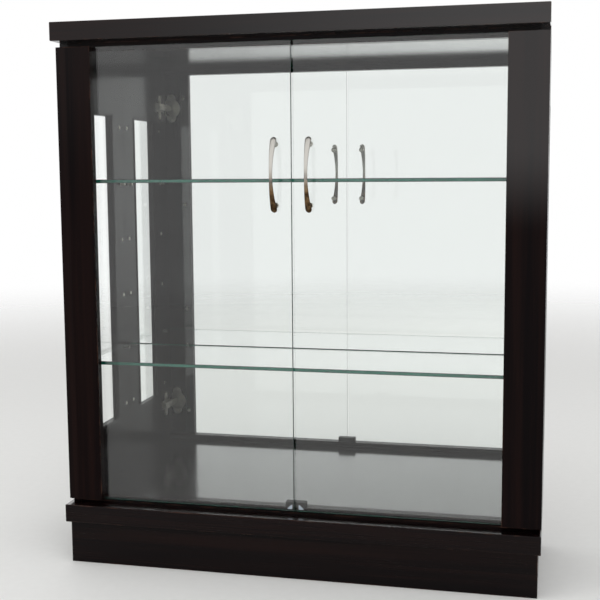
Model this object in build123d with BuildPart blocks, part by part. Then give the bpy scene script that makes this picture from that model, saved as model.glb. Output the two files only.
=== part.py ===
from build123d import *
import os

os.makedirs("parts", exist_ok=True)

# Driving dimensions, in millimetres. The cabinet stands on the floor at z = 0, its front faces -Y,
# and the origin is the bottom centre of its outline.

# Whole cabinet
cabinet_width = 786.0
cabinet_height = 900.0
carcass_depth = 237.0  # side panels, front edge to back edge
board_thickness = 30.0  # top board and base board
board_edge_round = 1.6
top_overhang = 16.0  # top board, forward of the door faces
base_overhang = 14.0  # base board, forward of the door faces
plinth_height = 73.0
plinth_thickness = 16.0
plinth_setback = 13.0  # behind the base board's front edge
plinth_inset = 4.5  # in from the cabinet's sides
plinth_back_setback = 12.0

# Carcass
side_thickness = 14.0
bottom_rail_height = 11.0
top_rail_height = 15.0
rail_thickness = 18.0
rebate_depth = 6.0  # into the side panel, for the back panel
back_panel_thickness = 6.0
back_panel_inset = 2.0  # ahead of the side panels' back edges
mirror_thickness = 4.0
fit_gap = 0.3  # running gap round inset panes and panels
hole_clearance = 0.1  # round dowels and screw shanks

# Window in each side panel
window_length = 553.0
window_bottom = 207.0  # above the floor
window_width = 94.0
window_setback = 77.0  # from the side panel's front edge
window_lip = 6.0  # wall left outside the pane, all round
window_lip_thickness = 4.0
window_glass_thickness = 4.0
bead_width = 6.0
bead_proud = 1.2
window_corner = 1.0

# Shelves and their studs
shelf_thickness = 6.0
shelf_front_setback = 30.0  # from the side panel's front edge
shelf_back_gap = 5.0  # between the shelf and the mirror
shelf_end_play = 0.4  # between the shelf and a stud's collar
stud_hole_bottom = 227.0
stud_hole_pitch = 103.0
stud_hole_count = 6
stud_front_setback = 41.0  # from the side panel's front edge
stud_back_setback = 17.0  # from the mirror's face
stud_hole_radius = 2.6
stud_hole_depth = 9.0
stud_pin_radius = 2.5
stud_collar_radius = 4.5
stud_collar_thickness = 1.6
stud_nose_length = 8.0
stud_pad_radius = 3.0
shelf_hole_numbers = (1, 4)  # lower and upper shelf, counted from the bottom, from 0

# Doors
stile_thickness = 19.0
stile_width = 61.0
door_gap = 2.0  # behind the door, in front of the carcass
door_top_gap = 8.0
door_bottom_gap = 6.0
meeting_gap = 3.0
bevel_width = 19.0  # broad bevel down the stile's outer edge
bevel_drop = 5.0
stile_edge_round = 1.2
stile_rim_round = 0.7  # round the front face
door_glass_thickness = 5.0
glass_lap = 16.0  # pane behind the stile
glass_edge_chamfer = 0.8
glass_screw_inset = 10.0  # from the stile's inner edge
glass_screw_count = 4
glass_screw_end = 52.0  # first and last screw, from the stile's ends
glass_screw_radius = 2.0
glass_screw_length = 9.0
glass_washer_radius = 5.0
glass_washer_thickness = 1.0
glass_screw_head_radius = 3.6
glass_screw_head_height = 1.8

# Bow handles
handle_pitch = 96.0
handle_length = 118.0
handle_reach = 27.0  # in front of the pane
handle_bar_thickness = 4.5
handle_end_width = 13.0
handle_waist_width = 7.0
handle_end_gap = 11.0  # between the pane and the bar's ends
handle_from_gap = 28.0
handle_centre_height = 654.0
handle_post_radius = 4.5
handle_flange_radius = 6.5
handle_flange_thickness = 2.0
handle_bolt_radius = 2.0
handle_washer_radius = 7.0
handle_washer_thickness = 1.2
handle_head_radius = 4.0
handle_head_height = 2.4
pane_hole_radius = 2.6

# Concealed hinges
hinge_from_end = 72.0  # from the door's ends
cup_from_edge = 26.0
cup_radius = 17.5
cup_depth = 11.5
cup_wall = 1.2
cup_flange_length = 56.0
cup_flange_width = 19.0
cup_flange_thickness = 1.4
cup_screw_pitch = 45.0
cup_screw_radius = 1.8
cup_screw_length = 9.0
cup_screw_head_radius = 3.4
cup_screw_head_height = 1.2
plate_setback = 37.0  # plate's screws, from the side panel's front edge
plate_screw_pitch = 32.0
plate_height = 48.0
plate_wing_width = 11.0
plate_body_length = 42.0
plate_body_width = 17.0
plate_thickness = 2.0
plate_screw_radius = 1.8
plate_screw_length = 10.0
plate_screw_head_radius = 3.5
plate_screw_head_height = 1.4
saddle_width = 8.4  # raised rib of the plate, under the arm
saddle_length = 38.0
saddle_height = 6.0
arm_width = 12.2
arm_wall = 1.6
arm_tail_slope = 3.0
arm_neck_setback = 3.0  # arm's channel, behind the side panel's front edge
arm_nose_width = 8.6
arm_nose_thickness = 4.0
arm_nose_length = 6.0  # into the cup, past the door's back
arm_screw_places = (9.0, 30.0)  # ahead of the arm's tail
arm_screw_radius = 2.0
arm_screw_length = 5.5
arm_screw_head_radius = 3.6
arm_screw_head_height = 1.6

# Catch at the bottom of the meeting gap
catch_length = 34.0
catch_height = 8.0
catch_depth = 13.0
catch_edge_round = 1.0
strike_length = 16.0
strike_height = 14.0
strike_thickness = 1.2
strike_from_gap = 3.5
strike_from_bottom = 1.0
strike_corner = 1.5
bumper_radius = 4.0
bumper_from_end = 16.0

# Screw heads are domed: a straight rim, then a cone to a smaller flat
head_rim_share = 0.5
head_flat_share = 0.6

# Dowels between the boards and the side panels
dowel_radius = 4.0
dowel_length = 24.0
dowel_board_share = 12.0  # length of each dowel that stands in the board
dowel_end_setback = 34.0  # first and last dowel, from the side panel's edges
dowel_count = 3

# Places worked out from the sizes above
door_face_y = -(top_overhang + stile_thickness + door_gap + carcass_depth) / 2 + top_overhang
carcass_front_y = door_face_y + stile_thickness + door_gap
carcass_back_y = carcass_front_y + carcass_depth
side_x = cabinet_width / 2
inner_x = side_x - side_thickness
base_top_z = plinth_height + board_thickness
top_under_z = cabinet_height - board_thickness
side_height = top_under_z - base_top_z
door_bottom_z = base_top_z + door_bottom_gap
door_top_z = top_under_z - door_top_gap
door_height = door_top_z - door_bottom_z
stile_inner_x = side_x - stile_width
stile_back_y = door_face_y + stile_thickness
pane_front_y = stile_back_y - door_glass_thickness
back_panel_back_y = carcass_back_y - back_panel_inset
back_panel_front_y = back_panel_back_y - back_panel_thickness
mirror_face_y = back_panel_front_y - mirror_thickness
hinge_heights = (door_bottom_z + hinge_from_end, door_top_z - hinge_from_end)
plate_centre_y = carcass_front_y + plate_setback
plate_screw_heights = [z + end * plate_screw_pitch / 2 for z in hinge_heights for end in (-1, 1)]
handle_post_heights = (handle_centre_height - handle_pitch / 2, handle_centre_height + handle_pitch / 2)
window_centre_y = carcass_front_y + window_setback + window_width / 2
window_centre_z = window_bottom + window_length / 2
stud_columns_y = (
    carcass_front_y + stud_front_setback,
    mirror_face_y - stud_back_setback,
)
stud_heights = [stud_hole_bottom + stud_hole_pitch * i for i in range(stud_hole_count)]
shelf_front_y = carcass_front_y + shelf_front_setback
dowel_rows_y = [
    carcass_front_y + dowel_end_setback + i * (carcass_depth - 2 * dowel_end_setback) / (dowel_count - 1)
    for i in range(dowel_count)
]
glass_screw_heights = [
    door_bottom_z + glass_screw_end + i * (door_height - 2 * glass_screw_end) / (glass_screw_count - 1)
    for i in range(glass_screw_count)
]


def save(builder, label):
    builder.part.label = label
    export_step(builder.part, f"parts/{label}.step")


def save_mirrored(builder, label_stem):
    """The pieces are drawn for the right-hand side (+X), and the left-hand ones are their mirror images."""
    save(builder, f"{label_stem}_right")
    with BuildPart() as other:
        add(mirror(builder.part, about=Plane.YZ))
    save(other, f"{label_stem}_left")


# Top board and base board

def make_board(front_y, bottom_z):
    with BuildPart() as board:
        with BuildSketch(Plane.XY.offset(bottom_z)):
            with Locations((0, (front_y + carcass_back_y) / 2)):
                Rectangle(cabinet_width, carcass_back_y - front_y)
        extrude(amount=board_thickness)
        front_edges = board.edges().filter_by(Axis.X).group_by(Axis.Y)[0]
        end_edges = board.edges().filter_by(Axis.Y)
        corner_edges = board.edges().filter_by(Axis.Z).group_by(Axis.Y)[0]
        fillet(front_edges + end_edges + corner_edges, board_edge_round)
    return board


def drill_board(board, face_z, direction):
    """Blind dowel holes in a board's face, above the side panels' ends."""
    depth = dowel_board_share + hole_clearance
    start = face_z if direction > 0 else face_z - depth
    with BuildPart() as drilled:
        add(board.part)
        with BuildSketch(Plane.XY.offset(start)):
            for side in (-1, 1):
                for y in dowel_rows_y:
                    with Locations((side * (side_x - side_thickness / 2), y)):
                        Circle(dowel_radius + hole_clearance)
        extrude(amount=depth, mode=Mode.SUBTRACT)
    return drilled


top_board = drill_board(make_board(door_face_y - top_overhang, top_under_z), top_under_z, 1)
save(top_board, "top_board")
base_board = drill_board(make_board(door_face_y - base_overhang, plinth_height), base_top_z, -1)
save(base_board, "base_board")

# Plinth, four boards with the front and back between the ends

plinth_front_y = door_face_y - base_overhang + plinth_setback
plinth_back_y = carcass_back_y - plinth_back_setback
plinth_end_x = side_x - plinth_inset


def make_block(low, high, label=None):
    with BuildPart() as block:
        with BuildSketch(Plane.XY.offset(low[2])):
            with Locations(((low[0] + high[0]) / 2, (low[1] + high[1]) / 2)):
                Rectangle(high[0] - low[0], high[1] - low[1])
        extrude(amount=high[2] - low[2])
    if label:
        save(block, label)
    return block


make_block(
    (-plinth_end_x, plinth_front_y, 0),
    (plinth_end_x, plinth_front_y + plinth_thickness, plinth_height),
    "plinth_front",
)
make_block(
    (-plinth_end_x + plinth_thickness, plinth_back_y - plinth_thickness, 0),
    (plinth_end_x - plinth_thickness, plinth_back_y, plinth_height),
    "plinth_back",
)
plinth_end = make_block(
    (plinth_end_x - plinth_thickness, plinth_front_y + plinth_thickness, 0),
    (plinth_end_x, plinth_back_y, plinth_height),
)
save_mirrored(plinth_end, "plinth_end")

# Side panel with its window, stud holes, dowel holes and the rebate for the back panel

side_plane = Plane((inner_x, 0, 0), x_dir=(0, 1, 0), z_dir=(1, 0, 0))  # local x is Y, local y is Z


def window_outline(margin):
    """The window's outline in the wall, widened by margin, as a sketch on the side plane."""
    with Locations((window_centre_y, window_centre_z)):
        RectangleRounded(window_width + 2 * margin, window_length + 2 * margin, window_corner + max(margin, 0))


with BuildPart() as side_panel:
    with BuildSketch(side_plane):
        with Locations(((carcass_front_y + carcass_back_y) / 2, (base_top_z + top_under_z) / 2)):
            Rectangle(carcass_depth, side_height)
    extrude(amount=side_thickness)
    # Through window, with a wider recess from the inner face for the pane and its bead
    with BuildSketch(side_plane):
        window_outline(0)
    extrude(amount=side_thickness, mode=Mode.SUBTRACT)
    with BuildSketch(side_plane):
        window_outline(window_lip)
    extrude(amount=side_thickness - window_lip_thickness, mode=Mode.SUBTRACT)
    with BuildSketch(side_plane):
        for y in stud_columns_y:
            for z in stud_heights:
                with Locations((y, z)):
                    Circle(stud_hole_radius)
    extrude(amount=stud_hole_depth, mode=Mode.SUBTRACT)
    with BuildSketch(side_plane):
        for z in plate_screw_heights:
            with Locations((plate_centre_y, z)):
                Circle(plate_screw_radius + hole_clearance)
    extrude(amount=plate_screw_length - plate_thickness + fit_gap, mode=Mode.SUBTRACT)
    with BuildSketch(side_plane):
        with Locations(((back_panel_front_y + carcass_back_y) / 2, (base_top_z + top_under_z) / 2)):
            Rectangle(carcass_back_y - back_panel_front_y, side_height)
    extrude(amount=rebate_depth, mode=Mode.SUBTRACT)
    for end_z, outward in ((base_top_z, 1), (top_under_z, -1)):
        with BuildSketch(Plane.XY.offset(end_z)):
            for y in dowel_rows_y:
                with Locations((side_x - side_thickness / 2, y)):
                    Circle(dowel_radius + hole_clearance)
        extrude(
            amount=outward * (dowel_length - dowel_board_share + hole_clearance),
            mode=Mode.SUBTRACT,
        )
save_mirrored(side_panel, "side_panel")

# Dowels, one group

with BuildPart() as dowels:
    for low_z in (base_top_z - dowel_board_share, top_under_z + dowel_board_share - dowel_length):
        with BuildSketch(Plane.XY.offset(low_z)):
            for side in (-1, 1):
                for y in dowel_rows_y:
                    with Locations((side * (side_x - side_thickness / 2), y)):
                        Circle(dowel_radius)
        extrude(amount=dowel_length)
save(dowels, "dowels")

# Window pane and the bead that holds it from inside

recess_depth = side_thickness - window_lip_thickness
pane_plane = side_plane.offset(recess_depth - window_glass_thickness)
with BuildPart() as side_pane:
    with BuildSketch(pane_plane):
        window_outline(window_lip - fit_gap)
    extrude(amount=window_glass_thickness)
save_mirrored(side_pane, "side_pane")

with BuildPart() as side_bead:
    with BuildSketch(side_plane.offset(-bead_proud)):
        window_outline(window_lip - fit_gap)
        with Locations((window_centre_y, window_centre_z)):
            Rectangle(
                window_width + 2 * (window_lip - bead_width),
                window_length + 2 * (window_lip - bead_width),
                mode=Mode.SUBTRACT,
            )
    extrude(amount=recess_depth - window_glass_thickness + bead_proud)
    inner_rim = side_bead.faces().sort_by(Axis.X)[0].inner_wires()[0].edges()
    chamfer(inner_rim, bead_proud)
save_mirrored(side_bead, "side_bead")

# Rails behind the doors, top and bottom

make_block(
    (-inner_x, carcass_front_y, base_top_z),
    (inner_x, carcass_front_y + rail_thickness, base_top_z + bottom_rail_height),
    "bottom_rail",
)
make_block(
    (-inner_x, carcass_front_y, top_under_z - top_rail_height),
    (inner_x, carcass_front_y + rail_thickness, top_under_z),
    "top_rail",
)

# Back panel in the side panels' rebates, and the mirror on its face

make_block(
    (-inner_x - rebate_depth + fit_gap, back_panel_front_y, base_top_z),
    (inner_x + rebate_depth - fit_gap, back_panel_back_y, top_under_z),
    "back_panel",
)
make_block(
    (-inner_x + fit_gap, mirror_face_y, base_top_z),
    (inner_x - fit_gap, back_panel_front_y, top_under_z),
    "mirror",
)

# Glass shelves, lying on the studs


def make_shelf(hole, label):
    under_z = stud_heights[hole] + stud_pad_radius
    half_width = inner_x - stud_collar_thickness - shelf_end_play
    shelf = make_block(
        (-half_width, shelf_front_y, under_z),
        (half_width, mirror_face_y - shelf_back_gap, under_z + shelf_thickness),
    )
    with BuildPart() as ground:
        add(shelf.part)
        chamfer(ground.edges().filter_by(Axis.X), glass_edge_chamfer)
    save(ground, label)


for hole, label in zip(shelf_hole_numbers, ("lower_shelf", "upper_shelf")):
    make_shelf(hole, label)

# Shelf studs: a pin in the side panel, a collar on its face and a nose under the glass

with BuildPart() as stud:
    with BuildSketch(Plane.XZ):
        with BuildLine():
            Polyline(
                (inner_x - stud_nose_length, 0),
                (inner_x + stud_hole_depth - fit_gap, 0),
                (inner_x + stud_hole_depth - fit_gap, stud_pin_radius),
                (inner_x, stud_pin_radius),
                (inner_x, stud_collar_radius - stud_collar_thickness / 2),
                (inner_x - stud_collar_thickness, stud_pad_radius),
                (inner_x - stud_nose_length, stud_pad_radius),
                close=True,
            )
        make_face()
    revolve(axis=Axis.X)

other_stud = mirror(stud.part, about=Plane.YZ)
with BuildPart() as shelf_studs:
    for hole in shelf_hole_numbers:
        for y in stud_columns_y:
            with Locations((0, y, stud_heights[hole])):
                add(stud.part)
                add(other_stud)
save(shelf_studs, "shelf_studs")

# Doors. Each is drawn as the right-hand one and mirrored: stile, frameless pane, handle and hinge cups

with BuildPart() as stile:
    with BuildSketch(Plane.XY.offset(door_bottom_z)):
        with BuildLine():
            Polyline(
                (stile_inner_x, door_face_y),
                (side_x - bevel_width, door_face_y),
                (side_x, door_face_y + bevel_drop),
                (side_x, stile_back_y),
                (stile_inner_x + glass_lap, stile_back_y),
                (stile_inner_x + glass_lap, pane_front_y - fit_gap),
                (stile_inner_x, pane_front_y - fit_gap),
                close=True,
            )
        make_face()
    extrude(amount=door_height)
    fillet(stile.edges().filter_by(Axis.Z).group_by(Axis.X)[-1], stile_edge_round)
    fillet(stile.faces().sort_by(Axis.Y)[0].edges(), stile_rim_round)
    # Blind bores for the hinge cups, from the back
    with BuildSketch(Plane.XZ.offset(-stile_back_y)):
        for z in hinge_heights:
            with Locations((side_x - cup_from_edge, z)):
                Circle(cup_radius + fit_gap)
    extrude(amount=cup_depth + fit_gap, mode=Mode.SUBTRACT)
    with BuildSketch(Plane.XZ.offset(-stile_back_y)):
        for z in hinge_heights:
            for end in (-1, 1):
                with Locations((side_x - cup_from_edge, z + end * cup_screw_pitch / 2)):
                    Circle(cup_screw_radius + hole_clearance)
    extrude(amount=cup_screw_length + fit_gap, mode=Mode.SUBTRACT)
    with BuildSketch(Plane.XZ.offset(-pane_front_y)):
        for z in glass_screw_heights:
            with Locations((stile_inner_x + glass_screw_inset, z)):
                Circle(glass_screw_radius + hole_clearance)
    extrude(amount=glass_screw_length - door_glass_thickness + fit_gap * 2, mode=Mode.SUBTRACT)
save_mirrored(stile, "stile")

pane_outer_x = stile_inner_x + glass_lap - fit_gap
handle_x = handle_from_gap
with BuildPart() as door_pane:
    with BuildSketch(Plane.XZ.offset(-stile_back_y)):
        with Locations(((meeting_gap / 2 + pane_outer_x) / 2, (door_bottom_z + door_top_z) / 2)):
            Rectangle(pane_outer_x - meeting_gap / 2, door_height)
        for z in handle_post_heights:
            with Locations((handle_x, z)):
                Circle(pane_hole_radius, mode=Mode.SUBTRACT)
        for z in glass_screw_heights:
            with Locations((stile_inner_x + glass_screw_inset, z)):
                Circle(pane_hole_radius, mode=Mode.SUBTRACT)
    extrude(amount=door_glass_thickness)
    chamfer(door_pane.edges().filter_by(Axis.Z).group_by(Axis.X)[0], glass_edge_chamfer)
save_mirrored(door_pane, "door_pane")


def turned_pin(steps, x, z, face_y, direction):
    """A turned piece on an axis along Y: steps are (distance out from face_y, radius) pairs, from axis to axis."""
    with BuildPart() as pin:
        with BuildSketch(Plane.XY.offset(z)):
            with BuildLine():
                Polyline(*[(x + radius, face_y + direction * out) for out, radius in steps], close=True)
            make_face()
        revolve(axis=Axis((x, 0, z), (0, 1, 0)))
    return pin.part


def screw_steps(depth, shank_radius, seat, head_radius, head_height):
    """Outline of a screw whose shank runs depth under a face and whose head stands on a seat above that face."""
    return [
        (-depth, 0),
        (-depth, shank_radius),
        (seat, shank_radius),
        (seat, head_radius),
        (seat + head_height * head_rim_share, head_radius),
        (seat + head_height, head_radius * head_flat_share),
        (seat + head_height, 0),
    ]


def washer_steps(depth, shank_radius, washer_radius, washer_thickness, head_radius, head_height):
    """The same for a screw with a washer under its head, in one piece with it."""
    steps = screw_steps(depth, shank_radius, washer_thickness, head_radius, head_height)
    return steps[:2] + [(0, shank_radius), (0, washer_radius), (washer_thickness, washer_radius)] + steps[3:]


def group(parts):
    """Several loose solids in one node."""
    with BuildPart() as together:
        for part in parts:
            add(part)
    return together


# Screws that hold the pane in the stile's rebate, each on a washer
glass_screw_steps = washer_steps(
    glass_screw_length,
    glass_screw_radius,
    glass_washer_radius,
    glass_washer_thickness,
    glass_screw_head_radius,
    glass_screw_head_height,
)
glass_screws = group(
    [
        turned_pin(glass_screw_steps, stile_inner_x + glass_screw_inset, z, stile_back_y, 1)
        for z in glass_screw_heights
    ]
)
save_mirrored(glass_screws, "glass_screws")

# Bow handle: an arched flat bar, waisted towards its middle and flared at its ends, on two turned posts
bar_back_y = pane_front_y - handle_end_gap
bar_front_y = pane_front_y - handle_reach
end_low = handle_centre_height - handle_length / 2
end_high = handle_centre_height + handle_length / 2
with BuildPart() as handle:
    # Side outline, an arc band, drawn in the YZ plane
    with BuildSketch(Plane.YZ.offset(handle_x - handle_end_width / 2)):
        with BuildLine():
            ThreePointArc(
                (bar_back_y, end_low), (bar_front_y + handle_bar_thickness, handle_centre_height), (bar_back_y, end_high)
            )
            Line((bar_back_y, end_high), (bar_back_y - handle_bar_thickness, end_high))
            ThreePointArc(
                (bar_back_y - handle_bar_thickness, end_high),
                (bar_front_y, handle_centre_height),
                (bar_back_y - handle_bar_thickness, end_low),
            )
            Line((bar_back_y - handle_bar_thickness, end_low), (bar_back_y, end_low))
        make_face()
    extrude(amount=handle_end_width)
    # Front outline, waisted, cuts the band to its width
    with BuildSketch(Plane.XZ.offset(-pane_front_y)):
        with BuildLine():
            for side in (-1, 1):
                ThreePointArc(
                    (handle_x + side * handle_end_width / 2, end_low),
                    (handle_x + side * handle_waist_width / 2, handle_centre_height),
                    (handle_x + side * handle_end_width / 2, end_high),
                )
            for end in (end_low, end_high):
                Line((handle_x - handle_end_width / 2, end), (handle_x + handle_end_width / 2, end))
        make_face()
    extrude(amount=handle_reach * 2, mode=Mode.INTERSECT)
    fillet(handle.edges().filter_by(Axis.Y), handle_end_width / 3)
    with BuildSketch(Plane.XZ.offset(-pane_front_y)):
        for z in handle_post_heights:
            with Locations((handle_x, z)):
                Circle(handle_post_radius)
    extrude(amount=handle_end_gap + handle_bar_thickness)
    with BuildSketch(Plane.XZ.offset(-pane_front_y)):
        for z in handle_post_heights:
            with Locations((handle_x, z)):
                Circle(handle_flange_radius)
    extrude(amount=handle_flange_thickness)
    with BuildSketch(Plane.XZ.offset(-pane_front_y)):
        for z in handle_post_heights:
            with Locations((handle_x, z)):
                Circle(handle_bolt_radius + hole_clearance)
    extrude(amount=handle_end_gap, mode=Mode.SUBTRACT)
save_mirrored(handle, "handle")

# Bolts through the pane into the posts, each with a round washer inside
handle_bolt_steps = washer_steps(
    door_glass_thickness + handle_end_gap - fit_gap,
    handle_bolt_radius,
    handle_washer_radius,
    handle_washer_thickness,
    handle_head_radius,
    handle_head_height,
)
handle_bolts = group([turned_pin(handle_bolt_steps, handle_x, z, stile_back_y, 1) for z in handle_post_heights])
save_mirrored(handle_bolts, "handle_bolts")

# Hinge cups, pressed in the stile's bores, with their screwed flanges
cup_x = side_x - cup_from_edge
with BuildPart() as hinge_cups:
    for z in hinge_heights:
        with BuildSketch(Plane.XZ.offset(-stile_back_y)):
            with Locations((cup_x, z)):
                Circle(cup_radius)
        extrude(amount=cup_depth)
        with BuildSketch(Plane.XZ.offset(-stile_back_y - cup_flange_thickness)):
            with Locations((cup_x, z)):
                RectangleRounded(cup_flange_width, cup_flange_length, cup_flange_width / 2 - cup_wall)
                Circle(cup_radius + cup_wall)
        extrude(amount=cup_flange_thickness)
        with BuildSketch(Plane.XZ.offset(-stile_back_y - cup_flange_thickness)):
            with Locations((cup_x, z)):
                Circle(cup_radius - cup_wall)
        extrude(amount=cup_depth + cup_flange_thickness - cup_wall, mode=Mode.SUBTRACT)
        with BuildSketch(Plane.XZ.offset(-stile_back_y - cup_flange_thickness)):
            for end in (-1, 1):
                with Locations((cup_x, z + end * cup_screw_pitch / 2)):
                    Circle(cup_screw_radius + hole_clearance)
        extrude(amount=cup_flange_thickness, mode=Mode.SUBTRACT)
save_mirrored(hinge_cups, "hinge_cups")

cup_screw_steps = screw_steps(
    cup_screw_length, cup_screw_radius, cup_flange_thickness, cup_screw_head_radius, cup_screw_head_height
)
cup_screws = group(
    [
        turned_pin(cup_screw_steps, cup_x, z + end * cup_screw_pitch / 2, stile_back_y, 1)
        for z in hinge_heights
        for end in (-1, 1)
    ]
)
save_mirrored(cup_screws, "cup_screws")

# Hinge mounting plates on the side panels, each with two screwed wings and a raised saddle

plate_plane = Plane((inner_x, 0, 0), x_dir=(0, 1, 0), z_dir=(-1, 0, 0))  # local x is Y, local y is -Z
arm_tail_y = plate_centre_y + plate_body_length / 2
arm_screws_y = [arm_tail_y - place for place in arm_screw_places]
with BuildPart() as hinge_plates:
    for z in hinge_heights:
        with BuildSketch(plate_plane):
            with Locations((plate_centre_y, -z)):
                RectangleRounded(plate_wing_width, plate_height, plate_wing_width / 2 - cup_wall)
                RectangleRounded(plate_body_length, plate_body_width, cup_wall)
        extrude(amount=plate_thickness)
        with BuildSketch(plate_plane.offset(plate_thickness)):
            with Locations((plate_centre_y, -z)):
                Rectangle(saddle_length, saddle_width)
        extrude(amount=saddle_height)
        with BuildSketch(plate_plane.offset(plate_thickness + saddle_height)):
            for y in arm_screws_y:
                with Locations((y, -z)):
                    Circle(arm_screw_radius + hole_clearance)
        extrude(amount=-(arm_screw_length - arm_wall + fit_gap), mode=Mode.SUBTRACT)
    with BuildSketch(plate_plane):
        for z in plate_screw_heights:
            with Locations((plate_centre_y, -z)):
                Circle(plate_screw_radius + hole_clearance)
    extrude(amount=plate_thickness, mode=Mode.SUBTRACT)
save_mirrored(hinge_plates, "hinge_plates")

# Hinge arms: a channel lying on the saddle, with a nose that reaches forward into the cup

arm_seat_x = inner_x - plate_thickness - saddle_height
arm_top_x = arm_seat_x - arm_wall
arm_foot_x = inner_x - plate_thickness - fit_gap
arm_neck_y = carcass_front_y + arm_neck_setback
nose_tip_y = stile_back_y - arm_nose_length
with BuildPart() as hinge_arms:
    for z in hinge_heights:
        with BuildSketch(Plane.XY.offset(z - arm_width / 2)):
            with BuildLine():
                Polyline(
                    (arm_foot_x, arm_tail_y),
                    (arm_top_x + arm_tail_slope, arm_tail_y),
                    (arm_top_x, arm_tail_y - arm_tail_slope),
                    (arm_top_x, arm_neck_y),
                    (arm_foot_x, arm_neck_y),
                    close=True,
                )
            make_face()
        extrude(amount=arm_width)
        with BuildSketch(Plane.XY.offset(z - arm_width / 2 + arm_wall)):
            with BuildLine():
                Polyline(
                    (arm_foot_x, arm_tail_y),
                    (arm_seat_x, arm_tail_y),
                    (arm_seat_x, arm_neck_y),
                    (arm_foot_x, arm_neck_y),
                    close=True,
                )
            make_face()
        extrude(amount=arm_width - 2 * arm_wall, mode=Mode.SUBTRACT)
        with BuildSketch(Plane.XY.offset(z - arm_nose_width / 2)):
            with BuildLine():
                Polyline(
                    (arm_top_x, arm_neck_y + arm_nose_thickness),
                    (arm_top_x + arm_nose_thickness, arm_neck_y + arm_nose_thickness),
                    (arm_top_x + arm_nose_thickness, nose_tip_y),
                    (arm_top_x, nose_tip_y),
                    close=True,
                )
            make_face()
        extrude(amount=arm_nose_width)
        with BuildSketch(plate_plane.offset(plate_thickness + saddle_height)):
            for y in arm_screws_y:
                with Locations((y, -z)):
                    Circle(arm_screw_radius + hole_clearance)
        extrude(amount=arm_wall, mode=Mode.SUBTRACT)
save_mirrored(hinge_arms, "hinge_arms")


def wall_screw(steps, y, z, face_x):
    """The same turned form, with its axis along X and its head towards the cabinet's middle."""
    with BuildPart() as pin:
        with BuildSketch(Plane.XY.offset(z)):
            with BuildLine():
                Polyline(*[(face_x - out, y + radius) for out, radius in steps], close=True)
            make_face()
        revolve(axis=Axis((0, y, z), (1, 0, 0)))
    return pin.part


arm_screw_steps = screw_steps(
    arm_screw_length - arm_wall, arm_screw_radius, arm_wall, arm_screw_head_radius, arm_screw_head_height
)
arm_screws = group(
    [wall_screw(arm_screw_steps, y, z, arm_seat_x) for z in hinge_heights for y in arm_screws_y]
)
save_mirrored(arm_screws, "arm_screws")
plate_screw_steps = screw_steps(
    plate_screw_length - plate_thickness,
    plate_screw_radius,
    plate_thickness,
    plate_screw_head_radius,
    plate_screw_head_height,
)
plate_screws = group([wall_screw(plate_screw_steps, plate_centre_y, z, inner_x) for z in plate_screw_heights])
save_mirrored(plate_screws, "plate_screws")

# Magnetic catch on the bottom rail, and a strike plate on each pane's lower meeting corner

catch_front_y = stile_back_y + strike_thickness + fit_gap
catch_bottom_z = base_top_z + bottom_rail_height
catch_case = make_block(
    (-catch_length / 2, catch_front_y, catch_bottom_z),
    (catch_length / 2, catch_front_y + catch_depth, catch_bottom_z + catch_height),
)
with BuildPart() as catch:
    add(catch_case.part)
    fillet(catch.edges().filter_by(Axis.Z), catch_edge_round)
save(catch, "magnetic_catch")

strike_low_x = meeting_gap / 2 + strike_from_gap
strike_low_z = door_bottom_z + strike_from_bottom
with BuildPart() as strike:
    with BuildSketch(Plane.XZ.offset(-stile_back_y - strike_thickness)):
        with Locations((strike_low_x + strike_length / 2, strike_low_z + strike_height / 2)):
            RectangleRounded(strike_length, strike_height, strike_corner)
    extrude(amount=strike_thickness)
save_mirrored(strike, "strike")

# Soft bumpers between each stile and the side panel's front edge
with BuildPart() as bumpers:
    with BuildSketch(Plane.XZ.offset(-carcass_front_y + fit_gap)):
        for z in (door_bottom_z + bumper_from_end, door_top_z - bumper_from_end):
            with Locations((side_x - side_thickness / 2, z)):
                Circle(bumper_radius)
    extrude(amount=door_gap - fit_gap)
save_mirrored(bumpers, "bumpers")
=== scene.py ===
import math

import bmesh
import bpy
from mathutils import Matrix, Vector


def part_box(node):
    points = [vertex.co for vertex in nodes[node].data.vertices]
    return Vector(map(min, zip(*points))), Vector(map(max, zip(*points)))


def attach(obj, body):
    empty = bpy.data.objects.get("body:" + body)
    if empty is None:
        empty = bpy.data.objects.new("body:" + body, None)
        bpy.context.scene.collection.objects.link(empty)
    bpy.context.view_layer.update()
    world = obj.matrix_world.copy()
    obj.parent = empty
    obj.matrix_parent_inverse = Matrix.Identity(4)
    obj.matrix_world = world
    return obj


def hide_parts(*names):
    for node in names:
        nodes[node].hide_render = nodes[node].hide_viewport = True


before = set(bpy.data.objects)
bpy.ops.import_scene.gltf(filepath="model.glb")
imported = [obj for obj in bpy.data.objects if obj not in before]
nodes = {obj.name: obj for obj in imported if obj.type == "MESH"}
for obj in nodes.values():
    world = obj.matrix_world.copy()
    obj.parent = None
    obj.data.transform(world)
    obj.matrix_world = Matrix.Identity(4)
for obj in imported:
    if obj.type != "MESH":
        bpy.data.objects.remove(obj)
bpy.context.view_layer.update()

print("cabinet frame loaded:", len(nodes), "pieces")


# A Wire is one socket, a Finish is the node tree of one material or of the world

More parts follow.
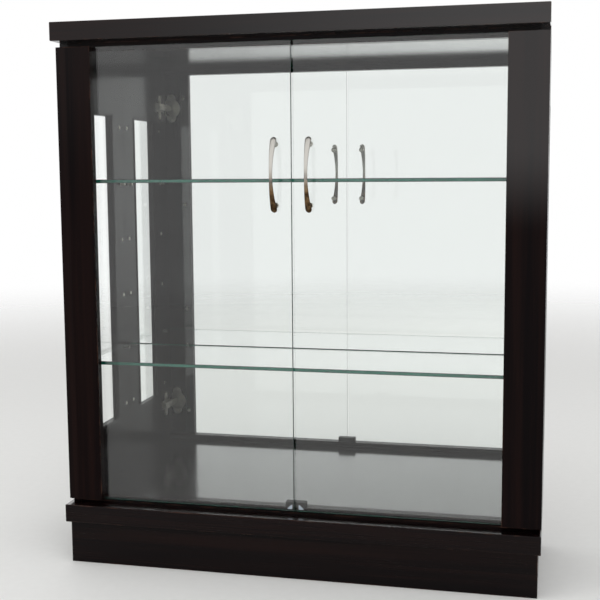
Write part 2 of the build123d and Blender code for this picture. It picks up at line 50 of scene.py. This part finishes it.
class Wire:
    def __init__(self, finish, socket):
        self.finish = finish
        self.socket = socket

    def math(self, operation, first, second=0.0, clamp=False):
        settings = {"operation": operation, "use_clamp": clamp}
        return self.finish.node("ShaderNodeMath", settings, {0: first, 1: second})

    def __add__(self, other):
        return self.math("ADD", self, other)

    __radd__ = __add__

    def __sub__(self, other):
        return self.math("SUBTRACT", self, other)

    def __rsub__(self, other):
        return self.math("SUBTRACT", other, self)

    def __mul__(self, other):
        return self.math("MULTIPLY", self, other)

    __rmul__ = __mul__

    def clamped(self):
        return self.math("ADD", self, 0.0, clamp=True)

    def size(self):
        return self.math("ABSOLUTE", self)

    def larger(self, other):
        return self.math("MAXIMUM", self, other)


class Finish:
    def __init__(self, owner):
        self.owner = owner
        owner.use_nodes = True
        self.tree = owner.node_tree
        self.tree.nodes.clear()

    def node(self, kind, settings=None, sockets=None, out=0):
        made = self.tree.nodes.new(kind)
        for key, value in (settings or {}).items():
            setattr(made, key, value)
        for key, value in (sockets or {}).items():
            if isinstance(value, Wire):
                self.tree.links.new(value.socket, made.inputs[key])
            else:
                made.inputs[key].default_value = value
        return Wire(self, made.outputs[out]) if made.outputs else None

    def place(self):  # the cabinet's own coordinates, in metres
        return self.node("ShaderNodeTexCoord", out="Object")

    def parts(self, vector):
        split = self.node("ShaderNodeSeparateXYZ", None, {0: vector})
        return [Wire(self, split.socket.node.outputs[axis]) for axis in range(3)]

    def noise(self, vector, scale, detail=2.0, roughness=0.5):
        return self.node(
            "ShaderNodeTexNoise",
            None,
            {"Vector": vector, "Scale": scale, "Detail": detail, "Roughness": roughness},
        )

    def stretched(self, vector, factors):
        return self.node(
            "ShaderNodeVectorMath", {"operation": "MULTIPLY"}, {0: vector, 1: factors}
        )

    def blend(self, factor, first, second):
        settings = {"data_type": "RGBA", "blend_type": "MIX"}
        return self.node("ShaderNodeMix", settings, {0: factor, 6: first, 7: second}, out=2)

    def ramp(self, value, low, high):  # 0 at low and below, 1 at high and above, eased
        settings = {"interpolation_type": "SMOOTHSTEP", "clamp": True}
        return self.node("ShaderNodeMapRange", settings, {"Value": value, 1: low, 2: high})

    def bump(self, height, strength, distance):
        return self.node(
            "ShaderNodeBump", None, {"Height": height, "Strength": strength, "Distance": distance}
        )

    def principled(self, **sockets):
        named = {key.replace("_", " "): value for key, value in sockets.items()}
        return self.node("ShaderNodeBsdfPrincipled", None, named)

    def show(self, shader, output="ShaderNodeOutputMaterial"):
        self.node(output, None, {"Surface": shader})
        return self.owner


def newFinish(name):
    return Finish(bpy.data.materials.new(name))


def linear(red, green, blue):
    def one(value):
        value /= 255
        return value / 12.92 if value <= 0.04045 else ((value + 0.055) / 1.055) ** 2.4

    return (one(red), one(green), one(blue), 1.0)


# Espresso lacquer

lacquer = {
    "deep": linear(8, 4, 5),
    "warm": linear(26, 13, 11),
    "rubbed": linear(92, 62, 48),
    "grainAcross": 420.0,
    "grainAlong": 9.0,
    "poreDepth": 0.00006,
    "rubWidth": 0.0022,
    "rubShare": 0.35,
    "roughness": 0.13,
    "hazeRoughness": 0.10,
    "gloss": {
        "top_board": 0.24, "base_board": 0.12, "side_panel_left": 0.05, "side_panel_right": 0.05,
        "stile_left": 0.04, "stile_right": 0.05,
    },
    "plainGloss": 0.11,
    "floorBend": 1.75,
    "coatBend": 1.5,
    # painted sheen: a coat that rises along one axis, standing in for reflections of brighter
    # surroundings: axis, where it starts, where it is whole, how strong
    "coatAndPaintedSheen": {
        "top_board": (0, -0.40, 0.42, 1.0),
        "stile_left": (2, 0.60, 0.90, 0.12),
        "stile_right": (2, 0.56, 0.70, 1.0),
        "side_panel_left": (2, 0.25, 0.70, 0.36),
        "side_panel_right": (2, 0.25, 0.70, 0.36),
    },
}


def lacquerFinish(nodeName, grainAxis):
    finish = newFinish("espressoLacquer_" + nodeName)
    place = finish.place()
    factors = [lacquer["grainAcross"]] * 3
    factors[grainAxis] = lacquer["grainAlong"]
    shift = sum(map(ord, nodeName)) * 0.37  # every board is cut from another plank
    plank = finish.node(
        "ShaderNodeVectorMath", {"operation": "ADD"}, {0: place, 1: (shift, shift, shift)}
    )
    streak = finish.noise(finish.stretched(plank, [f * 0.12 for f in factors]), 1.0, 4.0, 0.62)
    pores = finish.noise(finish.stretched(plank, factors), 1.0, 3.0, 0.7)
    haze = finish.noise(plank, 5.5, 3.0, 0.6)
    # rubbed arrises: points near two of the box's limits at once
    low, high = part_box(nodeName)
    near = []
    for axis, value in enumerate(finish.parts(place)):
        middle, half = (low[axis] + high[axis]) / 2, (high[axis] - low[axis]) / 2
        near.append(finish.ramp((value - middle).size(), half - lacquer["rubWidth"], half))
    arris = (near[0] * near[1] + near[1] * near[2] + near[0] * near[2]).clamped()
    worn = arris * finish.ramp(finish.noise(plank, 38.0, 4.0, 0.7), 0.44, 0.66)
    streaked = finish.blend(
        finish.ramp(streak, 0.36, 0.72) * 0.8 + finish.ramp(pores, 0.5, 0.75) * 0.2,
        lacquer["deep"],
        lacquer["warm"],
    )
    color = finish.blend(worn * lacquer["rubShare"], streaked, lacquer["rubbed"])
    coatAndPaintedSheen, bend = 0.0, lacquer["coatBend"]
    if nodeName == "base_board":  # the cabinet's floor is polished, its front edge isn't
        facing = finish.parts(finish.node("ShaderNodeTexCoord", out="Normal"))[2]
        coatAndPaintedSheen, bend = finish.ramp(facing, 0.8, 0.97), lacquer["floorBend"]
    # painted sheen: on these boards the coat rises along one axis, standing in for reflections of
    # brighter surroundings
    if nodeName in lacquer["coatAndPaintedSheen"]:
        axis, start, whole, strength = lacquer["coatAndPaintedSheen"][nodeName]
        coatAndPaintedSheen = finish.ramp(finish.parts(place)[axis], start, whole) * strength
    shade = finish.principled(
        Base_Color=color,
        Roughness=lacquer["roughness"] + haze * lacquer["hazeRoughness"] + worn * 0.15,
        Specular_IOR_Level=lacquer["gloss"].get(nodeName, lacquer["plainGloss"]),
        Coat_Weight=coatAndPaintedSheen,
        Coat_IOR=bend,
        Coat_Roughness=lacquer["roughness"],
        Normal=finish.bump(pores * 0.35 + streak * 0.65, 0.16, lacquer["poreDepth"]),
    )
    return finish.show(shade)


def setFinish(nodeName, material):
    mesh = nodes[nodeName].data
    mesh.materials.clear()
    mesh.materials.append(material)


grainRuns = {
    0: ["top_board", "base_board", "plinth_front", "plinth_back", "top_rail", "bottom_rail"],
    1: ["plinth_end_left", "plinth_end_right"],
    2: [
        "side_panel_left", "side_panel_right", "stile_left", "stile_right",
        "side_bead_left", "side_bead_right",
    ],
}
for axis, names in grainRuns.items():
    for nodeName in names:
        setFinish(nodeName, lacquerFinish(nodeName, axis))
print("lacquer on", sum(len(names) for names in grainRuns.values()), "boards")


# Glass

glass = {
    "clear": (0.985, 0.995, 0.99, 1.0),
    "edge": linear(22, 122, 100),
    "edgeDeep": linear(2, 66, 54),
    "edgeShare": 0.92,
    "bend": 1.46,
}


def glassFinish(nodeName, faceAxis):
    finish = newFinish("clearGlass_" + nodeName)
    place = finish.place()
    normal = finish.node("ShaderNodeTexCoord", out="Normal")
    flat = finish.parts(normal)[faceAxis].size()
    onEdge = 1 - finish.ramp(flat, 0.3, 0.55)
    depth = finish.noise(finish.stretched(place, (26.0, 26.0, 26.0)), 1.0, 3.0, 0.6)
    clear = finish.principled(
        Base_Color=glass["clear"], Roughness=0.0, IOR=glass["bend"], Transmission_Weight=1.0
    )
    green = finish.principled(
        Base_Color=finish.blend(depth, glass["edgeDeep"], glass["edge"]),
        Roughness=0.12,
        Specular_IOR_Level=0.6,
    )
    body = finish.node(
        "ShaderNodeMixShader", None, {0: onEdge * glass["edgeShare"], 1: clear, 2: green}
    )
    through = finish.node("ShaderNodeBsdfTransparent", None, {"Color": glass["clear"]})
    lamp = finish.node("ShaderNodeLightPath", out="Is Shadow Ray")
    return finish.show(finish.node("ShaderNodeMixShader", None, {0: lamp, 1: body, 2: through}))


for nodeName, faceAxis in (
    ("door_pane_left", 1), ("door_pane_right", 1), ("side_pane_left", 0),
    ("side_pane_right", 0), ("lower_shelf", 2), ("upper_shelf", 2),
):
    setFinish(nodeName, glassFinish(nodeName, faceAxis))

silver = {"color": (0.85, 0.87, 0.86, 1.0), "roughness": 0.004, "specks": linear(120, 124, 122)}


def mirrorFinish():
    finish = newFinish("silveredMirror")
    place = finish.place()
    dust = finish.ramp(finish.noise(place, 340.0, 2.0, 0.5), 0.74, 0.82)
    return finish.show(
        finish.principled(
            Base_Color=finish.blend(dust * 0.25, silver["color"], silver["specks"]),
            Metallic=1.0,
            Roughness=silver["roughness"] + dust * 0.05,
        )
    )


setFinish("mirror", mirrorFinish())
print("glass and mirror ready")


# Metals

# warm and dark paint the reflection of a dark, warm room on the bar's lower part; satin is the
# nickel's own colour above the change height
nickel = {
    "satin": linear(206, 203, 196),
    "warm": linear(128, 102, 72),
    "dark": linear(54, 38, 26),
    "changeLow": 0.628,
    "changeHigh": 0.672,
    "roughness": 0.27,
}


def handleFinish():
    finish = newFinish("nickelPaintedReflection")
    place = finish.place()
    height = finish.parts(place)[2]
    blot = finish.noise(place, 95.0, 4.0, 0.65)
    brushed = finish.noise(finish.stretched(place, (900.0, 900.0, 40.0)), 1.0, 2.0, 0.6)
    # painted reflection: below the change height the bar takes the dark and warm blotched colours
    # of a reflected room, above it the satin nickel
    above = finish.ramp(height + (blot - 0.5) * 0.02, nickel["changeLow"], nickel["changeHigh"])
    rubbed = finish.blend(finish.ramp(blot, 0.38, 0.66), nickel["dark"], nickel["warm"])
    return finish.show(
        finish.principled(
            Base_Color=finish.blend(above, rubbed, nickel["satin"]),
            Metallic=1.0,
            Roughness=nickel["roughness"] + (1 - above) * 0.1 + brushed * 0.1,
            Normal=finish.bump(brushed, 0.12, 0.00005),
        )
    )


steel = {
    "color": linear(238, 236, 226),
    "shadow": linear(198, 195, 184),
    "roughness": 0.34,
}


def steelFinish():
    finish = newFinish("platedSteel")
    place = finish.place()
    cloud = finish.noise(place, 210.0, 3.0, 0.6)
    return finish.show(
        finish.principled(
            Base_Color=finish.blend(cloud, steel["shadow"], steel["color"]),
            Metallic=1.0,
            Roughness=steel["roughness"] + cloud * 0.16,
            Normal=finish.bump(cloud, 0.08, 0.00004),
        )
    )


nickelPaintedReflection, platedSteel = handleFinish(), steelFinish()


# Bow handles

bow = {
    "fromMiddle": 0.028,
    "paneFace": -0.107,
    "centreHeight": 0.654,
    "halfLength": 0.0585,
    "endReach": 0.0075,  # bar's front face ahead of the pane, at its ends
    "middleReach": 0.0295,
    "waistWidth": 0.0052,
    "endWidth": 0.0112,
    "waistThickness": 0.0034,
    "endThickness": 0.0058,
    "squareness": 2.7,
    "rings": 72,
    "spokes": 28,
    "backFlatness": 0.7,  # the bar's back beside its crowned front
    "postPitch": 0.096,
    "postSpokes": 24,
    "postProfile": [  # radius, height above the pane
        (0.0038, 0.00006), (0.0040, 0.0005), (0.0038, 0.0012), (0.0031, 0.0019),
        (0.0029, 0.0034), (0.0029, 0.0110), (0.0033, 0.0126),
    ],
}


def looseObject(name, mesh):
    bmesh.ops.recalc_face_normals(mesh, faces=mesh.faces)
    data = bpy.data.meshes.new(name)
    mesh.to_mesh(data)
    mesh.free()
    made = bpy.data.objects.new(name, data)
    bpy.context.scene.collection.objects.link(made)
    return made


def skinRings(mesh, rings):  # a closed skin over rings of the same count of points
    rows = [[mesh.verts.new(point) for point in ring] for ring in rings]
    count = len(rows[0])
    for row, after in zip(rows, rows[1:]):
        for i in range(count):
            j = (i + 1) % count
            mesh.faces.new((row[i], row[j], after[j], after[i]))
    mesh.faces.new(list(reversed(rows[0])))
    mesh.faces.new(rows[-1])


def ringMesh(name, rings, smooth=True):
    mesh = bmesh.new()
    skinRings(mesh, rings)
    made = looseObject(name, mesh)
    for face in made.data.polygons:
        face.use_smooth = smooth
    return made


def bowRings(side):
    sag = bow["middleReach"] - bow["endReach"]
    radius = (bow["halfLength"] ** 2 + sag**2) / (2 * sag)
    tip = bow["endWidth"] / 2
    rings = []
    for step in range(bow["rings"] + 1):
        turn = math.pi * (step / bow["rings"])
        along = -math.cos(turn) * bow["halfLength"]  # rings crowd together at the rounded ends
        share = abs(along) / bow["halfLength"]
        reach = bow["endReach"] + math.sqrt(radius**2 - along**2) - (radius - sag)
        past = max(0.0, abs(along) - (bow["halfLength"] - tip)) / tip
        fullness = math.sqrt(max(0.0, 1 - min(past, 0.995) ** 2))
        wide = bow["waistWidth"] + (bow["endWidth"] - bow["waistWidth"]) * share**1.7
        half = wide / 2 * fullness
        thick = bow["waistThickness"] + (bow["endThickness"] - bow["waistThickness"]) * share**2
        deep = thick / 2 * (0.35 + 0.65 * fullness)
        lean = math.asin(along / radius)  # the section stands square to the arc
        ring = []
        for spoke in range(bow["spokes"]):
            angle = 2 * math.pi * spoke / bow["spokes"]
            across, out = (
                math.copysign(abs(value) ** (2 / bow["squareness"]), value)
                for value in (math.cos(angle), math.sin(angle))
            )
            out = out * deep * (1.0 if out > 0 else bow["backFlatness"])
            ring.append(
                (
                    side * bow["fromMiddle"] + across * half,
                    bow["paneFace"] - reach + thick / 2 - out * math.cos(lean),
                    bow["centreHeight"] + along + out * math.sin(lean),
                )
            )
        rings.append(ring)
    return rings


def postRings(side, height):
    rings = []
    for radius, out in bow["postProfile"]:
        ring = []
        for spoke in range(bow["postSpokes"]):
            angle = 2 * math.pi * spoke / bow["postSpokes"]
            ring.append(
                (
                    side * bow["fromMiddle"] + radius * math.cos(angle),
                    bow["paneFace"] - out,
                    bow["centreHeight"] + height + radius * math.sin(angle),
                )
            )
        rings.append(ring)
    return rings


for side, word in ((-1, "left"), (1, "right")):
    bar = ringMesh("bowHandle_" + word, bowRings(side))
    posts = [
        ringMesh(f"handlePost_{word}_{place}", postRings(side, end * bow["postPitch"] / 2))
        for place, end in (("low", -1), ("high", 1))
    ]
    for piece in [bar] + posts:
        piece.data.materials.append(nickelPaintedReflection)
        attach(piece, "door_" + word)
    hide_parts("handle_" + word)
for nodeName in ("handle_left", "handle_right"):
    setFinish(nodeName, nickelPaintedReflection)


# Screws with driven recesses

hingeHeights = (0.181, 0.790)
screws = {  # places are (x, y, z) for the right-hand side; the head looks along `towards`
    "glass_screws": {
        "piece": "glassScrews", "body": "door", "towards": "back", "depth": 0.0088,
        "shank": 0.0020, "washer": (0.0034, 0.0007), "head": (0.0027, 0.0015), "seat": 0.0,
        "places": [(0.342, -0.102, 0.161 + 0.216333 * i) for i in range(4)],
    },
    "handle_bolts": {
        "piece": "handleBolts", "body": "door", "towards": "back", "depth": 0.0155,
        "shank": 0.0020, "washer": (0.0046, 0.0009), "head": (0.0036, 0.0022), "seat": 0.0,
        "places": [(0.028, -0.102, 0.654 + 0.048 * end) for end in (-1, 1)],
    },
    "cup_screws": {
        "piece": "cupScrews", "body": "door", "towards": "back", "depth": 0.0088,
        "shank": 0.0018, "washer": None, "head": (0.0034, 0.0013), "seat": 0.0014,
        "places": [(0.367, -0.102, z + 0.0225 * end) for z in hingeHeights for end in (-1, 1)],
    },
    "plate_screws": {
        "piece": "plateScrews", "body": "carcass", "towards": "middle", "depth": 0.0078,
        "shank": 0.0018, "washer": None, "head": (0.0035, 0.0015), "seat": 0.0020,
        "places": [(0.379, -0.063, z + 0.016 * end) for z in hingeHeights for end in (-1, 1)],
    },
    "arm_screws": {
        "piece": "armScrews", "body": "carcass", "towards": "middle", "depth": 0.0037,
        "shank": 0.0020, "washer": None, "head": (0.0036, 0.0017), "seat": 0.0016,
        "places": [(0.371, y, z) for z in hingeHeights for y in (-0.051, -0.072)],
    },
}
recess = {"arm": 0.62, "slot": 0.2, "depth": 0.0009, "taper": 0.8}  # shares, depth in metres
screwSpokes = 24
lift = 0.00006  # a hair's breadth between metal and the glass or plate it sits on


def screwProfile(kind):
    out = [(kind["shank"] * 0.3, -kind["depth"]), (kind["shank"], -kind["depth"] + 0.001)]
    seat = kind["seat"] + lift
    out.append((kind["shank"], seat))
    if kind["washer"]:
        wide, thick = kind["washer"]
        out += [(wide - 0.0002, seat), (wide, seat + thick * 0.4), (wide - 0.0003, seat + thick)]
        seat += thick
    wide, tall = kind["head"]
    out.append((wide, seat))
    for step in range(6):  # a low domed crown
        angle = math.pi / 2 * (step + 1) / 7
        out.append((wide * (0.62 + 0.38 * math.cos(angle)), seat + tall * math.sin(angle)))
    out.append((wide * 0.6, seat + tall))
    return out


def addScrew(mesh, kind, origin, ahead, across, turned):
    beside = ahead.cross(across)
    spokes = screwSpokes

    def point(radius, angle, out):
        flat = across * (radius * math.cos(angle)) + beside * (radius * math.sin(angle))
        return mesh.verts.new(origin + flat + ahead * out)

    profile = screwProfile(kind)
    rows = [
        [point(radius, 2 * math.pi * i / spokes, out) for i in range(spokes)]
        for radius, out in profile
    ]
    for row, after in zip(rows, rows[1:]):
        for i in range(spokes):
            j = (i + 1) % spokes
            mesh.faces.new((row[i], row[j], after[j], after[i])).smooth = True
    mesh.faces.new(list(reversed(rows[0])))
    # the flat of the head, with a cross let into it
    flatRadius, top = profile[-1]
    long, short = flatRadius * recess["arm"], flatRadius * recess["slot"]
    outline = []
    for quarter in range(4):
        for u, v in ((short, short), (long, short), (long, -short)):
            angle = math.atan2(v, u) - quarter * math.pi / 2 + turned
            outline.append((math.hypot(u, v), angle))
    upper = [point(radius, angle, top) for radius, angle in outline]
    taper, floorOut = recess["taper"], top - recess["depth"]
    lower = [point(radius * taper, angle, floorOut) for radius, angle in outline]
    corners = len(outline)
    for i in range(corners):
        j = (i + 1) % corners
        mesh.faces.new((upper[i], upper[j], lower[j], lower[i]))
    mesh.faces.new(lower)
    rim = [mesh.edges.get((rows[-1][i], rows[-1][(i + 1) % spokes])) for i in range(spokes)]
    rim += [mesh.edges.get((upper[i], upper[(i + 1) % corners])) for i in range(corners)]
    bmesh.ops.triangle_fill(mesh, edges=rim, use_beauty=True, use_dissolve=False)


for stem, kind in screws.items():
    for side, word in ((-1, "left"), (1, "right")):
        mesh = bmesh.new()
        for count, (x, y, z) in enumerate(kind["places"]):
            toBack = kind["towards"] == "back"
            ahead = Vector((0, 1, 0)) if toBack else Vector((-side, 0, 0))
            addScrew(mesh, kind, Vector((side * x, y, z)), ahead, Vector((0, 0, 1)),
                     0.4 + 1.1 * count + side)
        piece = looseObject(f"{kind['piece']}_{word}", mesh)
        piece.data.materials.append(platedSteel)
        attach(piece, "door_" + word if kind["body"] == "door" else "carcass")
        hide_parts(f"{stem}_{word}")
print("screws driven:", 2 * sum(len(kind["places"]) for kind in screws.values()))


# Strike plates at the panes' lower corners

strike = {
    "near": 0.0054, "wide": 0.0095, "low": 0.1106, "tall": 0.0085, "back": -0.102,
    "thick": 0.0011, "corner": 0.0009, "edge": 0.00025,
    "color": linear(214, 222, 236), "roughness": 0.34,
}


def strikeFinish():
    finish = newFinish("paleStrikePlate")
    brushed = finish.noise(finish.stretched(finish.place(), (2400.0, 60.0, 60.0)), 1.0, 2.0, 0.6)
    return finish.show(
        finish.principled(
            Base_Color=finish.blend(brushed * 0.4, strike["color"], linear(170, 182, 202)),
            Metallic=0.55,
            Roughness=strike["roughness"] + brushed * 0.12,
            Normal=finish.bump(brushed, 0.1, 0.00004),
        )
    )


def strikeRings(side):  # a right-angled plate, upright edge at the meeting line
    slope = math.atan2(strike["wide"], strike["tall"])  # where the long edge faces
    turns = ((math.pi, 1.5 * math.pi), (1.5 * math.pi, 2 * math.pi + slope), (slope, math.pi))
    rings = []
    layers = ((lift, strike["edge"]), (lift + strike["edge"], 0.0),
              (strike["thick"] - strike["edge"], 0.0), (strike["thick"], strike["edge"]))
    for out, inset in layers:
        radius = strike["corner"] - inset
        reach = strike["corner"]
        long = math.hypot(strike["wide"], strike["tall"])
        # centres of the three rounded corners, each a radius in from the two edges that meet
        farX = strike["wide"] - reach * (long + strike["wide"]) / strike["tall"]
        farZ = strike["tall"] - reach * (long + strike["tall"]) / strike["wide"]
        centres = ((reach, reach), (farX, reach), (reach, farZ))
        ring = []
        for (x, z), (start, end) in zip(centres, turns):
            for step in range(7):
                angle = start + (end - start) * step / 6
                ring.append((side * (strike["near"] + x + radius * math.cos(angle)),
                             strike["back"] + out,
                             strike["low"] + z + radius * math.sin(angle)))
        rings.append(ring)
    return rings


paleStrikePlate = strikeFinish()
for side, word in ((-1, "left"), (1, "right")):
    piece = ringMesh("strikePlate_" + word, strikeRings(side), smooth=False)
    piece.data.materials.append(paleStrikePlate)
    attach(piece, "door_" + word)
    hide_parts("strike_" + word)

# Sleeves in the stud holes that hold no stud
sleeve = {
    "columns": (-0.059, 0.108),
    "rows": (0.227, 0.433, 0.536, 0.742),
    "wall": 0.379,
    "profile": [  # radius, distance out of the wall
        (0.0024, -0.0040), (0.0024, lift), (0.0033, lift), (0.0033, 0.0003), (0.0030, 0.0005),
        (0.0018, 0.0005), (0.0015, 0.0002), (0.0014, -0.0008),
    ],
    "spokes": 20,
}


def sleeveRings(side, y, z):
    rings = []
    for radius, out in sleeve["profile"]:
        turns = [2 * math.pi * spoke / sleeve["spokes"] for spoke in range(sleeve["spokes"])]
        x = side * (sleeve["wall"] - out)
        rings.append([
            (x, y + radius * math.cos(turn), z + radius * math.sin(turn)) for turn in turns
        ])
    return rings


for side, word in ((-1, "left"), (1, "right")):
    mesh = bmesh.new()
    for y in sleeve["columns"]:
        for z in sleeve["rows"]:
            skinRings(mesh, sleeveRings(side, y, z))
    piece = looseObject("holeSleeves_" + word, mesh)
    piece.data.materials.append(platedSteel)
    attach(piece, "carcass")
print("sleeves fitted:", 2 * len(sleeve["columns"]) * len(sleeve["rows"]))

steelPieces = [
    name
    for name in nodes
    if name.startswith(("hinge_", "cup_screws", "plate_screws", "arm_screws", "glass_screws",
                        "handle_bolts", "shelf_studs", "strike"))
]
for nodeName in steelPieces:
    setFinish(nodeName, platedSteel)
print("metals on", len(steelPieces) + 2, "pieces")


# Small dull materials

plain = {
    "hardboard": (linear(88, 67, 52), linear(46, 35, 28), 0.55, 90.0),
    "beech": (linear(214, 178, 138), linear(186, 146, 104), 0.6, 300.0),
    "catchPlastic": (linear(30, 24, 22), linear(20, 16, 15), 0.42, 500.0),
    "softBuffer": (linear(222, 226, 228), linear(202, 208, 212), 0.35, 400.0),
}


def plainFinish(kind):
    light, dark, roughness, scale = plain[kind]
    finish = newFinish(kind)
    place = finish.place()
    fine = finish.ramp(finish.noise(place, scale, 5.0, 0.65), 0.32, 0.68)
    broad = finish.ramp(finish.noise(place, scale * 0.12, 3.0, 0.6), 0.3, 0.7)
    mottle = fine * 0.6 + broad * 0.4
    return finish.show(
        finish.principled(
            Base_Color=finish.blend(mottle, dark, light),
            Roughness=roughness + mottle * 0.15,
            Normal=finish.bump(mottle, 0.2, 0.0002),
        )
    )


setFinish("back_panel", plainFinish("hardboard"))
setFinish("dowels", plainFinish("beech"))
setFinish("magnetic_catch", plainFinish("catchPlastic"))
buffer = plainFinish("softBuffer")
for nodeName in ("bumpers_left", "bumpers_right"):
    setFinish(nodeName, buffer)


# Floor, light and camera

stage = {
    "floorRadius": 6.0,
    "floorColor": linear(238, 238, 236),
    "fadeStart": 1.6,
    "fadeEnd": 5.0,
    "daylight": 0.7,
    "white": 1.0,
}


def floorFinish():
    finish = newFinish("paleFloor")
    place = finish.place()
    away = finish.node("ShaderNodeVectorMath", {"operation": "LENGTH"}, {0: place}, out="Value")
    speckle = finish.noise(place, 70.0, 2.0, 0.5)
    matt = finish.principled(
        Base_Color=finish.blend(speckle * 0.3, stage["floorColor"], linear(220, 220, 218)),
        Roughness=0.6,
        Specular_IOR_Level=0.2,
    )
    nothing = finish.node("ShaderNodeBsdfTransparent")
    fade = finish.ramp(away, stage["fadeStart"], stage["fadeEnd"])
    return finish.show(finish.node("ShaderNodeMixShader", None, {0: fade, 1: matt, 2: nothing}))


bpy.ops.mesh.primitive_circle_add(
    vertices=96, radius=stage["floorRadius"], fill_type="NGON", location=(0, 0, 0)
)
floor = bpy.context.object
floor.name = "floor"
floor.data.materials.append(floorFinish())

world = bpy.data.worlds.new("softDaylight")
bpy.context.scene.world = world
sky = Finish(world)
byCamera, byGloss, through = (
    sky.node("ShaderNodeLightPath", out=kind)
    for kind in ("Is Camera Ray", "Is Glossy Ray", "Is Transmission Ray")
)
seen = byCamera.larger(byGloss).larger(through)  # white where it is looked at, softer as light
strength = seen * (stage["white"] - stage["daylight"]) + stage["daylight"]
plainWhite = sky.node("ShaderNodeBackground", None, {"Color": (1, 1, 1, 1), "Strength": strength})
sky.show(plainWhite, "ShaderNodeOutputWorld")

lamps = {
    "key": {"at": (1.1, -3.2, 1.75), "aim": (0.3, 0, 0.9), "size": (2.6, 1.5), "watts": 32},
    "fill": {"at": (-2.9, -1.9, 1.75), "aim": (0, 0, 0.6), "size": (1.0, 1.2), "watts": 12},
    "over": {"at": (0, -0.6, 2.9), "aim": (0, 0, 0.4), "size": (1.8, 1.4), "watts": 16},
}
for name, lamp in lamps.items():
    light = bpy.data.lights.new(name, "AREA")
    light.shape = "RECTANGLE"
    light.size, light.size_y = lamp["size"]
    light.energy = lamp["watts"]
    holder = bpy.data.objects.new(name, light)
    bpy.context.scene.collection.objects.link(holder)
    holder.location = lamp["at"]
    holder.visible_glossy = holder.visible_transmission = False  # no square patch in the mirror
    toward = Vector(lamp["aim"]) - Vector(lamp["at"])
    holder.rotation_euler = toward.to_track_quat("-Z", "Y").to_euler()

view = {
    "at": (0.4042, -1.7432, 0.6556),
    "yaw": 13.11,  # turned towards -X
    "down": 6.58,
    "roll": -0.37,
    "lens": 63.87,
    "shift": (-0.0123, -0.0058),
}
yaw, down, roll = (math.radians(view[key]) for key in ("yaw", "down", "roll"))
ahead = Vector((-math.sin(yaw) * math.cos(down), math.cos(yaw) * math.cos(down), -math.sin(down)))
level = Vector((math.cos(yaw), math.sin(yaw), 0))
upright = level.cross(ahead)
right = level * math.cos(roll) + upright * math.sin(roll)
up = upright * math.cos(roll) - level * math.sin(roll)
cameraData = bpy.data.cameras.new("camera")
cameraData.lens = view["lens"]
cameraData.sensor_width = 36
cameraData.shift_x, cameraData.shift_y = view["shift"]
camera = bpy.data.objects.new("camera", cameraData)
bpy.context.scene.collection.objects.link(camera)
turn = Matrix((right, up, -ahead)).transposed().to_4x4()
camera.matrix_world = Matrix.Translation(view["at"]) @ turn
bpy.context.scene.camera = camera
bpy.context.scene.view_settings.view_transform = "Standard"
print("floor, lamps and camera placed")
